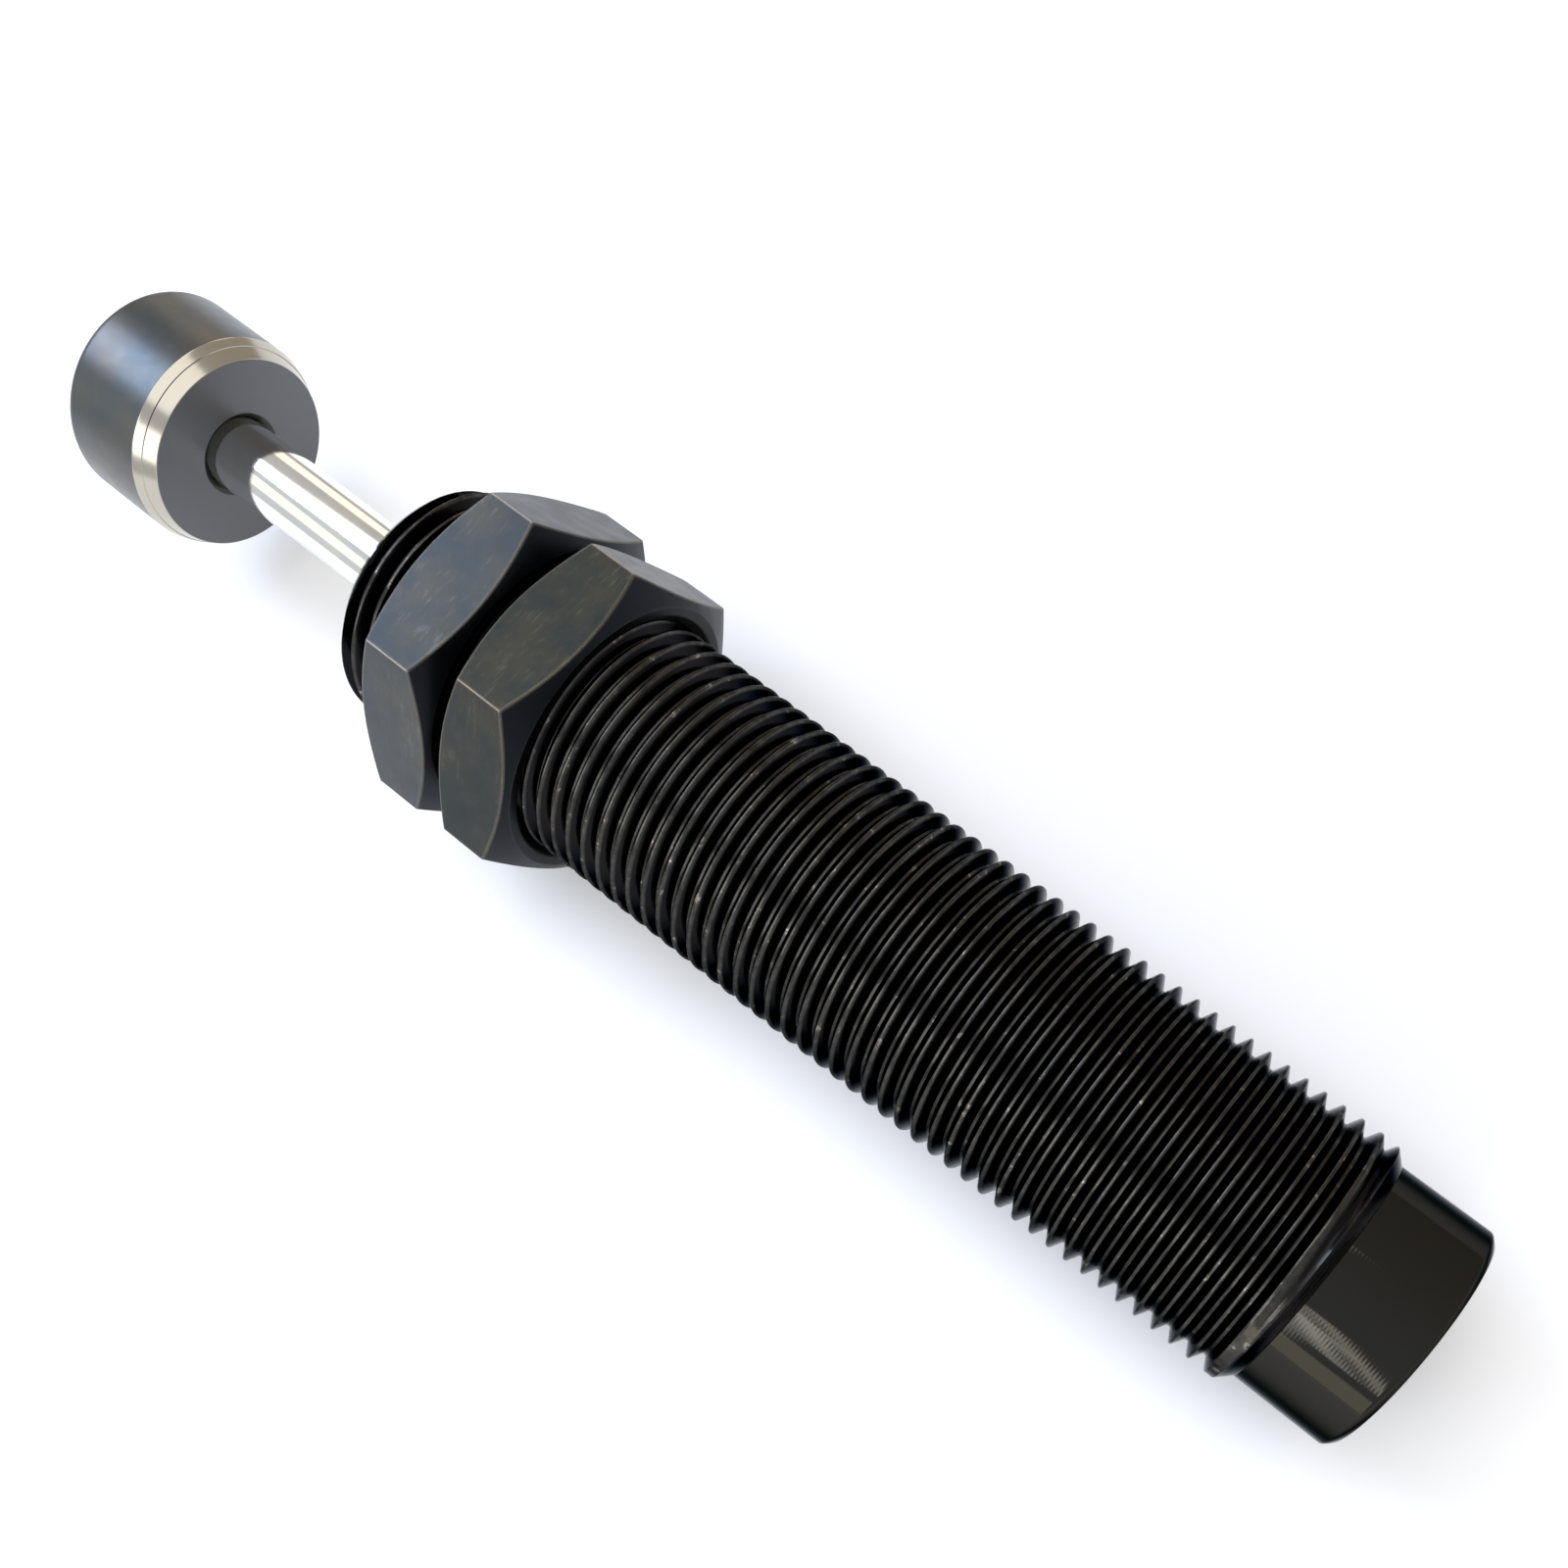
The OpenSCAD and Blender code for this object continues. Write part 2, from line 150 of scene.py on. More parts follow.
# The room around is cool white on the left and overhead, and a pale warm grey on the right.
room = bpy.data.worlds.new("room")
scene.world = room
room.use_nodes = True
room_tree = room.node_tree
around = add_node(room_tree, "ShaderNodeTexCoord").outputs["Generated"]
across = add_node(room_tree, "ShaderNodeSeparateXYZ", links={0: around}).outputs["Y"]
sideways = add_node(room_tree, "ShaderNodeMapRange", {"From Min": -1.0}, {"Value": across})
walls = add_node(room_tree, "ShaderNodeValToRGB", links={"Fac": sideways})
walls.color_ramp.elements[0].color = colour("#EEF2F8")
walls.color_ramp.elements[0].position = 0.3
walls.color_ramp.elements[1].color = colour("#CFC7BE")
walls.color_ramp.elements[1].position = 0.95
room_tree.links.new(walls.outputs[0], room_tree.nodes["Background"].inputs["Color"])
room_tree.nodes["Background"].inputs["Strength"].default_value = 0.95
scene.view_settings.view_transform = "Standard"


# ---------------------------------------------------------------- barrel
# The absorber's body is one bar of steel, bored from the front and threaded M20 x 1.5 from
# the mouth to the plain tail. It is turned, thread and all, then blackened in hot salts.
def ring_of(bm, points, closed=True):
    """Draws a profile of (x, radius) points in millimetres, ready to be spun round the x axis."""
    verts = [bm.verts.new((x, 0, r)) for x, r in points]
    pairs = list(zip(verts, verts[1:]))
    if closed:
        pairs.append((verts[-1], verts[0]))
    for a, b in pairs:
        bm.edges.new((a, b))
    return verts


def make_piece(bm, name, material, sharp=32):
    """Closes a mesh drawn in millimetres, points its faces outwards, marks its sharp edges
    and makes it an object in metres."""
    bmesh.ops.remove_doubles(bm, verts=bm.verts, dist=0.004)
    bmesh.ops.recalc_face_normals(bm, faces=bm.faces)
    for face in bm.faces:
        face.smooth = True
    for edge in bm.edges:
        edge.smooth = edge.calc_face_angle(0) < math.radians(sharp)
    bmesh.ops.scale(bm, vec=(0.001, 0.001, 0.001), verts=bm.verts)
    mesh = bpy.data.meshes.new(name)
    bm.to_mesh(mesh)
    bm.free()
    mesh.materials.append(material)
    piece = bpy.data.objects.new(name, mesh)
    scene.collection.objects.link(piece)
    return piece


def spread(vert):
    """How far a point lies from the x axis."""
    return math.hypot(vert.co.y, vert.co.z)


def carry_on(bm, rim, rings):
    """Carries an open round rim on through rings at (x, radius), and returns the last rim."""
    for x, r in rings:
        grown = bmesh.ops.extrude_edge_only(bm, edges=rim)["geom"]
        verts = {g for g in grown if isinstance(g, bmesh.types.BMVert)}
        rim = [g for g in grown if isinstance(g, bmesh.types.BMEdge) and set(g.verts) <= verts]
        for vert in verts:
            size = r / spread(vert)
            vert.co = (x, vert.co.y * size, vert.co.z * size)
    return rim


pitch = 1.5
crest_r = 10.0
root_r = 9.08
crest_half = pitch / 16
flank = (crest_r - root_r) * math.tan(math.radians(30))
turn_steps = 72
thread_end = 64.5
last_groove_x = 62.9
run_out = 0.6
tail_r = 9.0
tail_edge = 0.6
mouth_chamfer = 1.0
tail_chamfer = crest_r - tail_r
chamfer_cuts = 6
bore_r = 7.5
bore_lead_in = 0.4
snap_groove_r = 8.1
end_wall = 10.0
port_r = 2.5
port_lead_in = 0.4
port_depth = 7.0
ball_seat_r = 1.2
front_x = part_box("barrel")[0].x * 1000
tail_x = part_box("barrel")[1].x * 1000

body = bmesh.new()
groove = ring_of(body, [(0, root_r), (pitch / 2 - crest_half - flank, root_r),
                        (pitch / 2 - crest_half, crest_r), (pitch / 2 + crest_half, crest_r),
                        (pitch / 2 + crest_half + flank, root_r), (pitch, root_r)], closed=False)
bmesh.ops.bevel(body, geom=groove[1:-1], offset=0.05, segments=2, profile=0.5,
                affect="VERTICES", material=-1)
# The groove's middle passes last_groove_x three quarters of a turn round from the z axis.
start_x = last_groove_x - 0.75 * pitch
start_x -= pitch * math.ceil((start_x - front_x) / pitch + 1)
bmesh.ops.translate(body, vec=(start_x, 0, 0), verts=body.verts)
bmesh.ops.spin(body, geom=body.verts[:] + body.edges[:], cent=(0, 0, 0), axis=(1, 0, 0),
               dvec=(pitch / turn_steps, 0, 0), angle=math.tau, steps=turn_steps,
               use_merge=False, use_duplicate=False)
one_turn = body.verts[:] + body.edges[:] + body.faces[:]
for k in range(1, math.ceil((thread_end - start_x) / pitch) + 1):
    copy = bmesh.ops.duplicate(body, geom=one_turn)["geom"]
    bmesh.ops.translate(body, vec=(pitch * k, 0, 0),
                        verts=[g for g in copy if isinstance(g, bmesh.types.BMVert)])
bmesh.ops.remove_doubles(body, verts=body.verts, dist=0.004)

rims = []
for x, backwards in ((front_x, True), (thread_end, False)):
    cut = bmesh.ops.bisect_plane(body, geom=body.verts[:] + body.edges[:] + body.faces[:],
                                 dist=1e-4, plane_co=(x, 0, 0), plane_no=(1, 0, 0),
                                 clear_inner=backwards, clear_outer=not backwards)["geom_cut"]
    rims.append([g for g in cut if isinstance(g, bmesh.types.BMEdge)])
for cut_number in range(1, chamfer_cuts + 1):
    part_way = cut_number / chamfer_cuts
    for x in (front_x + part_way * mouth_chamfer, thread_end - part_way * tail_chamfer):
        bmesh.ops.bisect_plane(body, geom=body.verts[:] + body.edges[:] + body.faces[:],
                               dist=1e-4, plane_co=(x, 0, 0), plane_no=(1, 0, 0))
for vert in body.verts:
    turn = math.atan2(-vert.co.y, vert.co.z) / math.tau
    middle_x = start_x + pitch * (turn + round((vert.co.x - start_x) / pitch - turn))
    rising = min(max((middle_x - last_groove_x) / run_out, 0), 1)
    r = spread(vert) + (crest_r - spread(vert)) * rising
    r = min(r, crest_r - mouth_chamfer + vert.co.x - front_x, tail_r + thread_end - vert.co.x)
    size = r / spread(vert)
    vert.co = (vert.co.x, vert.co.y * size, vert.co.z * size)

mouth = carry_on(body, rims[0], [
    (front_x, bore_r + bore_lead_in), (front_x + bore_lead_in, bore_r), (front_x + 1.5, bore_r),
    (front_x + 1.5, snap_groove_r), (front_x + 2.6, snap_groove_r), (front_x + 2.6, bore_r),
    (tail_x - end_wall, bore_r), (tail_x - end_wall, ball_seat_r)])
port = carry_on(body, rims[1], [
    (tail_x - tail_edge - 0.1, tail_r), (tail_x - tail_edge, tail_r), (tail_x - 0.45, tail_r - 0.06),
    (tail_x - 0.06, tail_r - 0.45), (tail_x, tail_r - tail_edge), (tail_x, port_r + port_lead_in),
    (tail_x - port_lead_in, port_r), (tail_x - port_depth, port_r), (tail_x - port_depth, ball_seat_r)])
bmesh.ops.bridge_loops(body, edges=mouth + port)


def radius_of(tree, place):
    """The distance of each point from the x axis, in metres, for patterns on turned pieces."""
    across = add_node(tree, "ShaderNodeVectorMath", {"operation": "MULTIPLY", 1: (0, 1, 1)}, {0: place})
    return add_node(tree, "ShaderNodeVectorMath", {"operation": "LENGTH"}, {0: across}).outputs["Value"]


# Hot black oxide on turned steel, oiled: a thin glassy black skin that mirrors the lights, and
# stays dark at a glance. The flanks keep their full black; the crests are rubbed to greyer lines
# with small bright nicks, and that grey band is drawn wider as a painted highlight; the roots get
# a painted highlight line in the same greys. The tail shows the ground steel a little.
black_oxide, tree, shader, place = start_material("black_oxide", "#1C1B1D", 1.0, 0.14)
shader.inputs["Specular Tint"].default_value = colour("#A4A6A8")
patches = add_node(tree, "ShaderNodeTexNoise", {"Scale": 1 / 0.006, "Detail": 3.0}, {"Vector": place})
tones = add_node(tree, "ShaderNodeValToRGB", links={"Fac": patches})
tones.color_ramp.elements[0].position = 0.35
tones.color_ramp.elements[0].color = colour("#18191C")
tones.color_ramp.elements[1].position = 0.7
tones.color_ramp.elements[1].color = colour("#211F1E")
along_x = add_node(tree, "ShaderNodeSeparateXYZ", links={0: place}).outputs["X"]
on_tail = add_node(tree, "ShaderNodeMapRange",
                   {"From Min": (thread_end - 0.5) / 1000, "From Max": thread_end / 1000},
                   {"Value": along_x})
tones = add_node(tree, "ShaderNodeMixRGB", {"Color2": colour("#302F2C")}, {"Fac": on_tail, "Color1": tones})
radius = radius_of(tree, place)
# Crest band: real rubbing on the crest, drawn wider over the flank tops as a painted highlight.
crest_wear_and_highlight = add_node(tree, "ShaderNodeMapRange",
                 {"From Min": (crest_r - 0.25) / 1000, "From Max": (crest_r - 0.08) / 1000},
                 {"Value": radius})
# Painted highlight: a grey line along each thread root that stands in for a second reflection line.
painted_root_highlight = add_node(tree, "ShaderNodeMapRange",
                {"From Min": (root_r + 0.06) / 1000, "From Max": (root_r + 0.01) / 1000, "To Max": 0.6},
                {"Value": radius})
on_thread = add_node(tree, "ShaderNodeMath", {"operation": "SUBTRACT", 0: 1.0}, {1: on_tail})
root_highlight_line = add_node(tree, "ShaderNodeMath", {"operation": "MULTIPLY"}, {0: painted_root_highlight, 1: on_thread})
wear_and_painted_highlight = add_node(tree, "ShaderNodeMath", {"operation": "MAXIMUM"}, {0: crest_wear_and_highlight, 1: root_highlight_line})
specks = add_node(tree, "ShaderNodeTexNoise", {"Scale": 1 / 0.0011, "Detail": 5.0, "Roughness": 0.7},
                  {"Vector": place})
rubbed_and_highlight_greys = add_node(tree, "ShaderNodeValToRGB", links={"Fac": specks})
rubbed_and_highlight_greys.color_ramp.elements[0].position = 0.35
rubbed_and_highlight_greys.color_ramp.elements[0].color = colour("#333332")
rubbed_and_highlight_greys.color_ramp.elements[1].position = 0.62
rubbed_and_highlight_greys.color_ramp.elements[1].color = colour("#4A4844")
nicked = rubbed_and_highlight_greys.color_ramp.elements.new(0.68)
nicked.color = colour("#8E8880")
# Greys mixed in by the crest and root masks: rubbed crests with nicks, plus painted highlight lines.
skin = add_node(tree, "ShaderNodeMixRGB", links={"Fac": wear_and_painted_highlight, "Color1": tones, "Color2": rubbed_and_highlight_greys})
tree.links.new(skin.outputs[0], shader.inputs["Base Color"])
film = add_node(tree, "ShaderNodeTexNoise", {"Scale": 1 / 0.0025, "Detail": 4.0}, {"Vector": place})
satin = add_node(tree, "ShaderNodeMapRange", {"To Min": 0.08, "To Max": 0.22}, {"Value": film})
polish = add_node(tree, "ShaderNodeMapRange", {"To Min": 1.0, "To Max": 0.45}, {"Value": on_tail})
gloss = add_node(tree, "ShaderNodeMath", {"operation": "MULTIPLY"}, {0: satin, 1: polish})
tree.links.new(gloss.outputs[0], shader.inputs["Roughness"])
# A wave pattern of scale 1 comes round again every 0.314 of a unit, so this over a spacing in
# metres is its scale. The turning lines are 0.06 mm apart on the real piece, and 0.25 mm here, to show.
wave_unit = 0.314
lines = add_node(tree, "ShaderNodeTexWave",
                 {"Scale": wave_unit / 0.00025, "Distortion": 1.5, "Detail": 2.0, "Detail Scale": 0.4},
                 {"Vector": place})
fine = add_node(tree, "ShaderNodeBump", {"Strength": 0.05, "Distance": 0.00001}, {"Height": lines})
pits = add_node(tree, "ShaderNodeMath", {"operation": "MULTIPLY"}, {0: specks, 1: on_thread})
nicks = add_node(tree, "ShaderNodeBump", {"Strength": 0.2, "Distance": 0.00006},
                 {"Height": pits, "Normal": fine})
tree.links.new(nicks.outputs[0], shader.inputs["Normal"])

barrel = make_piece(body, "threaded_barrel", black_oxide)
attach(barrel, "barrel_assembly")
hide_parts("barrel")


# ---------------------------------------------------------------- lock nuts
# Two thin hexagon nuts clamp the absorber in its bracket. Each is cut from hexagon bar, its
# corners turned off at 30 degrees on both faces, and dipped to a satin grey oxide.
def lock_nut(name, node, turn, material):
    """A hexagon nut over its CAD node, with a corner turned from the z axis by turn degrees."""
    low, high = (corner * 1000 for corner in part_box(node))
    thick = high.x - low.x
    half_flats = 12.0
    face_r = 0.475 * 2 * half_flats
    bore = crest_r + 0.05
    lead_in = 0.6
    blank_r = 13.0
    turned_off = math.radians(30)
    edge_break = 0.11
    steps = 144
    nut = bmesh.new()
    ring = ring_of(nut, [(lead_in, bore), (0, bore + lead_in), (0, face_r), (1, blank_r),
                         (thick - 1, blank_r), (thick, face_r), (thick, bore + lead_in),
                         (thick - lead_in, bore)])
    bmesh.ops.spin(nut, geom=ring + nut.edges[:], cent=(0, 0, 0), axis=(1, 0, 0), dvec=(0, 0, 0),
                   angle=math.tau, steps=steps, use_merge=True, use_duplicate=False)
    bmesh.ops.remove_doubles(nut, verts=nut.verts, dist=0.004)
    for vert in nut.verts:
        if spread(vert) > blank_r - 0.5:
            angle = math.degrees(math.atan2(-vert.co.y, vert.co.z)) % 60 - 30
            reach = half_flats / math.cos(math.radians(angle))
            depth = (reach - face_r) * math.tan(turned_off)
            size = reach / spread(vert)
            vert.co.x = depth if vert.co.x < thick / 2 else thick - depth
            vert.co.y *= size
            vert.co.z *= size
    edges = [e for e in nut.edges if e.calc_face_angle(0) > math.radians(24)]
    bmesh.ops.bevel(nut, geom=edges, offset=edge_break, segments=2, profile=0.5, affect="EDGES",
                    material=-1, clamp_overlap=True)
    bmesh.ops.rotate(nut, cent=(0, 0, 0), verts=nut.verts,
                     matrix=Matrix.Rotation(math.radians(-turn), 3, "X"))
    bmesh.ops.translate(nut, vec=(low.x, 0, 0), verts=nut.verts)
    return make_piece(nut, name, material, sharp=12)


def satin_oxide(name, cool, warm, scratch):
    """Black oxide on drawn hexagon bar: satin grey flats with cool and warm clouds and faint
    scratches, near-black turned bevels and ends, and pale steel along the edges, partly wear
    from handling and partly a painted edge highlight."""
    material, tree, shader, place = start_material(name, cool, 1.0, 0.36)
    clouds = add_node(tree, "ShaderNodeTexNoise", {"Scale": 1 / 0.006, "Detail": 6.0, "Roughness": 0.65},
                      {"Vector": place})
    flats = add_node(tree, "ShaderNodeValToRGB", links={"Fac": clouds})
    flats.color_ramp.elements[0].position = 0.40
    flats.color_ramp.elements[0].color = colour(cool)
    flats.color_ramp.elements[1].position = 0.62
    flats.color_ramp.elements[1].color = colour(warm)
    # Scratches run round the nut, so the pattern is drawn out five times across the flats.
    around_nut = add_node(tree, "ShaderNodeMapping", {"Scale": (1, 0.2, 0.2)}, {"Vector": place})
    rubs = add_node(tree, "ShaderNodeTexNoise", {"Scale": 1 / 0.0004, "Detail": 6.0, "Roughness": 0.7},
                    {"Vector": around_nut})
    marks = add_node(tree, "ShaderNodeMapRange", {"From Min": 0.54, "From Max": 0.76, "To Max": 0.5},
                     {"Value": rubs})
    handled = add_node(tree, "ShaderNodeMapRange", {"From Min": 0.45, "From Max": 0.6}, {"Value": clouds})
    bare = add_node(tree, "ShaderNodeMath", {"operation": "MULTIPLY"}, {0: marks, 1: handled})
    rubbed = add_node(tree, "ShaderNodeMixRGB", {"Color2": colour(scratch)}, {"Fac": bare, "Color1": flats})
    side = add_node(tree, "ShaderNodeTexCoord").outputs["Normal"]
    along_x = add_node(tree, "ShaderNodeSeparateXYZ", links={0: side}).outputs["X"]
    lean = add_node(tree, "ShaderNodeMath", {"operation": "ABSOLUTE"}, {0: along_x})
    turned_part = add_node(tree, "ShaderNodeMapRange", {"From Min": 0.55, "From Max": 0.8}, {"Value": lean})
    tones = add_node(tree, "ShaderNodeMixRGB", {"Color2": colour("#1E2024")},
                     {"Fac": turned_part, "Color1": rubbed})
    # Edges found with the bevel node are mixed towards pale steel: partly wear, partly a painted edge
    # highlight.
    edge = add_node(tree, "ShaderNodeBevel", {"samples": 6, "Radius": 0.00025})
    facing = add_node(tree, "ShaderNodeNewGeometry").outputs["Normal"]
    match = add_node(tree, "ShaderNodeVectorMath", {"operation": "DOT_PRODUCT"}, {0: edge, 1: facing})
    rim = add_node(tree, "ShaderNodeMapRange", {"From Min": 0.995, "From Max": 0.93, "To Max": 0.8},
                   {"Value": match.outputs["Value"]})
    skin = add_node(tree, "ShaderNodeMixRGB", {"Color2": colour("#A79C8A")}, {"Fac": rim, "Color1": tones})
    tree.links.new(skin.outputs[0], shader.inputs["Base Color"])
    film = add_node(tree, "ShaderNodeTexNoise", {"Scale": 1 / 0.0018, "Detail": 5.0}, {"Vector": place})
    gloss = add_node(tree, "ShaderNodeMapRange", {"To Min": 0.28, "To Max": 0.5}, {"Value": film})
    tree.links.new(gloss.outputs[0], shader.inputs["Roughness"])
    grain = add_node(tree, "ShaderNodeBump", {"Strength": 0.25, "Distance": 0.00003}, {"Height": rubs})
    tree.links.new(grain.outputs[0], shader.inputs["Normal"])
    return material


# The front nut has kept a thinner, bluer grey coat. The rear one is darker, with an olive cast.
front_coat = satin_oxide("satin_oxide_front", "#3A3F42", "#444440", "#70767A")
rear_coat = satin_oxide("satin_oxide_rear", "#2C3131", "#3A3933", "#62655F")
front_nut = lock_nut("front_hex_nut", "front_lock_nut", 26.15, front_coat)
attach(front_nut, "front_nut")
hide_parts("front_lock_nut")
rear_nut = lock_nut("rear_hex_nut", "rear_lock_nut", -26.15, rear_coat)
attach(rear_nut, "rear_nut")
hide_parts("rear_lock_nut")


# ---------------------------------------------------------------- retaining ring and front cover
# A sprung steel ring snaps into the groove of the mouth and holds the blackened cover, which
# keeps the wiper. The ring is stamped from spring strip and left with a bluish temper.
def dress(names, material):
    """Gives CAD nodes a finished material."""
    for name in names:
        nodes[name].data.materials.clear()
        nodes[name].data.materials.append(material)


def blotched(tree, place, size, dark, pale):
    """Two colours of one metal in soft patches of a size in metres."""
    noise = add_node(tree, "ShaderNodeTexNoise", {"Scale": 1 / size, "Detail": 4.0}, {"Vector": place})
    ramp = add_node(tree, "ShaderNodeValToRGB", links={"Fac": noise})
    ramp.color_ramp.elements[0].position = 0.35
    ramp.color_ramp.elements[0].color = colour(dark)
    ramp.color_ramp.elements[1].position = 0.68
    ramp.color_ramp.elements[1].color = colour(pale)
    return ramp


spring_steel, tree, shader, place = start_material("tempered_spring_steel", "#5D5F66", 1.0, 0.32)
tree.links.new(blotched(tree, place, 0.004, "#55585F", "#6E6A66").outputs[0], shader.inputs["Base Color"])
grain = add_node(tree, "ShaderNodeTexNoise", {"Scale": 1 / 0.0003, "Detail": 4.0}, {"Vector": place})
gloss = add_node(tree, "ShaderNodeMapRange", {"To Min": 0.25, "To Max": 0.42}, {"Value": grain})
tree.links.new(gloss.outputs[0], shader.inputs["Roughness"])
rolled = add_node(tree, "ShaderNodeBump", {"Strength": 0.2, "Distance": 0.00002}, {"Height": grain})
tree.links.new(rolled.outputs[0], shader.inputs["Normal"])
dress(["retaining_ring", "ball_retainer"], spring_steel)
dress(["front_cover"], black_oxide)

# ---------------------------------------------------------------- wiper, rod seal and O-ring
# Moulded nitrile rubber, pressed into the pockets of the cover and of the rod guide. It is
# matt black with a faint bloom, and slightly rough where the mould was spark-eroded.
nitrile, tree, shader, place = start_material("moulded_nitrile", "#17171A", 0.0, 0.55)
shader.inputs["IOR"].default_value = 1.52
tree.links.new(blotched(tree, place, 0.0025, "#141417", "#212124").outputs[0], shader.inputs["Base Color"])
grain = add_node(tree, "ShaderNodeTexNoise", {"Scale": 1 / 0.00015, "Detail": 3.0}, {"Vector": place})
gloss = add_node(tree, "ShaderNodeMapRange", {"To Min": 0.45, "To Max": 0.68}, {"Value": grain})
tree.links.new(gloss.outputs[0], shader.inputs["Roughness"])
moulded = add_node(tree, "ShaderNodeBump", {"Strength": 0.2, "Distance": 0.00001}, {"Height": grain})
tree.links.new(moulded.outputs[0], shader.inputs["Normal"])
dress(["rod_wiper", "rod_seal", "guide_o_ring"], nitrile)


# ---------------------------------------------------------------- piston rod
# A hardened rod, ground and hard chromed, slides through the seal and carries the cap on its
# front end and the piston on a stud at the back.
def turned(name, outline, material, closed=True, steps=128, sharp=32):
    """Spins an outline of (x, radius) points in millimetres into a turned piece."""
    bm = bmesh.new()
    ring = ring_of(bm, outline, closed)
    bmesh.ops.spin(bm, geom=ring + bm.edges[:], cent=(0, 0, 0), axis=(1, 0, 0), dvec=(0, 0, 0),
                   angle=math.tau, steps=steps, use_merge=True, use_duplicate=False)
    return make_piece(bm, name, material, sharp)


chrome, tree, shader, place = start_material("hard_chrome", "#DCDDD8", 1.0, 0.08)
tree.links.new(blotched(tree, place, 0.008, "#D3D5D4", "#E2DFD6").outputs[0], shader.inputs["Base Color"])
film = add_node(tree, "ShaderNodeTexNoise", {"Scale": 1 / 0.002, "Detail": 5.0}, {"Vector": place})
gloss = add_node(tree, "ShaderNodeMapRange", {"To Min": 0.03, "To Max": 0.13}, {"Value": film})
tree.links.new(gloss.outputs[0], shader.inputs["Roughness"])
# Grinding lines of 0.01 mm run round the rod; they are drawn 0.1 mm apart, to show.
lines = add_node(tree, "ShaderNodeTexWave", {"Scale": wave_unit / 0.0001, "Distortion": 3.0},
                 {"Vector": place})
ground = add_node(tree, "ShaderNodeBump", {"Strength": 0.05, "Distance": 0.000005}, {"Height": lines})
tree.links.new(ground.outputs[0], shader.inputs["Normal"])

rod_low, rod_high = (corner * 1000 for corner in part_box("piston_rod"))
stud_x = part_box("piston")[0].x * 1000
rod_r = 3.0
stud_r = 2.0
rod = turned("chromed_rod", [
    (rod_low.x, 0), (rod_low.x, rod_r - 0.5), (rod_low.x + 0.5, rod_r), (stud_x, rod_r),
    (stud_x, stud_r), (rod_high.x - 0.3, stud_r), (rod_high.x, stud_r - 0.3), (rod_high.x, 0)],
    chrome, closed=False, steps=96)
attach(rod, "rod_assembly")
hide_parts("piston_rod")

# ---------------------------------------------------------------- cap
# The strike cap takes the blow. It is turned from hardened steel and pressed on the rod, with
# a rounded strike face, and on the rod side a bright double bevel round a plain face.
cap_low, cap_high = (corner * 1000 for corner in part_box("cap"))
cap_r = cap_high.z
edge_r = 0.8
bevel_x = cap_high.x - 1.84
bevel_step_x = cap_high.x - 1.1
bevel_deep = 0.9
hole_r = rod_r + 0.02
hole_end = rod_low.x - 0.3
strike_edge = [(cap_low.x + edge_r * (1 - math.cos(a)), cap_r - edge_r * (1 - math.sin(a)))
               for a in (math.pi / 2 * k / 6 for k in range(7))]
cap_outline = [(cap_low.x, 0)] + strike_edge + [
    (cap_low.x + edge_r + 0.1, cap_r), (bevel_x - 0.1, cap_r), (bevel_x, cap_r),
    (bevel_x + 0.08, cap_r - 0.03), (bevel_step_x - 0.02, cap_r - 0.3), (bevel_step_x, cap_r - 0.38),
    (cap_high.x - 0.05, cap_r - bevel_deep + 0.08), (cap_high.x, cap_r - bevel_deep),
    (cap_high.x, hole_r + 0.55), (cap_high.x - 0.05, hole_r + 0.48), (cap_high.x - 0.5, hole_r),
    (hole_end, hole_r), (hole_end, 0)]

# Hardened steel, turned and lightly ground: a grey satin that smears the lights round the cap,
# with fine rings from the lathe, and a brighter, smoother cut on the bevel.
cap_steel, tree, shader, place = start_material("turned_hard_steel", "#52585A", 1.0, 0.34)
sides = blotched(tree, place, 0.005, "#4B5153", "#595651")
radius = radius_of(tree, place)
along_x = add_node(tree, "ShaderNodeSeparateXYZ", links={0: place}).outputs["X"]
at_face = add_node(tree, "ShaderNodeMath", {"operation": "GREATER_THAN", 1: (cap_high.x - 0.02) / 1000},
                   {0: along_x})
tones = add_node(tree, "ShaderNodeMixRGB", {"Color2": colour("#6B6C6F")},
                 {"Fac": at_face, "Color1": sides})
behind = add_node(tree, "ShaderNodeMath", {"operation": "GREATER_THAN", 1: (bevel_x - 0.04) / 1000},
                  {0: along_x})
outside = add_node(tree, "ShaderNodeMath",
                   {"operation": "GREATER_THAN", 1: (cap_r - bevel_deep + 0.03) / 1000}, {0: radius})
bevel = add_node(tree, "ShaderNodeMath", {"operation": "MULTIPLY"}, {0: behind, 1: outside})
skin = add_node(tree, "ShaderNodeMixRGB", {"Color2": colour("#ABA598")}, {"Fac": bevel, "Color1": tones})
tree.links.new(skin.outputs[0], shader.inputs["Base Color"])
grain = add_node(tree, "ShaderNodeTexNoise", {"Scale": 1 / 0.0009, "Detail": 5.0}, {"Vector": place})
satin = add_node(tree, "ShaderNodeMapRange", {"To Min": 0.28, "To Max": 0.42}, {"Value": grain})
bevel_gloss = 0.18
bright = add_node(tree, "ShaderNodeMixRGB", {"Color2": (bevel_gloss, bevel_gloss, bevel_gloss, 1)},
                  {"Fac": bevel, "Color1": satin})
tree.links.new(bright.outputs[0], shader.inputs["Roughness"])
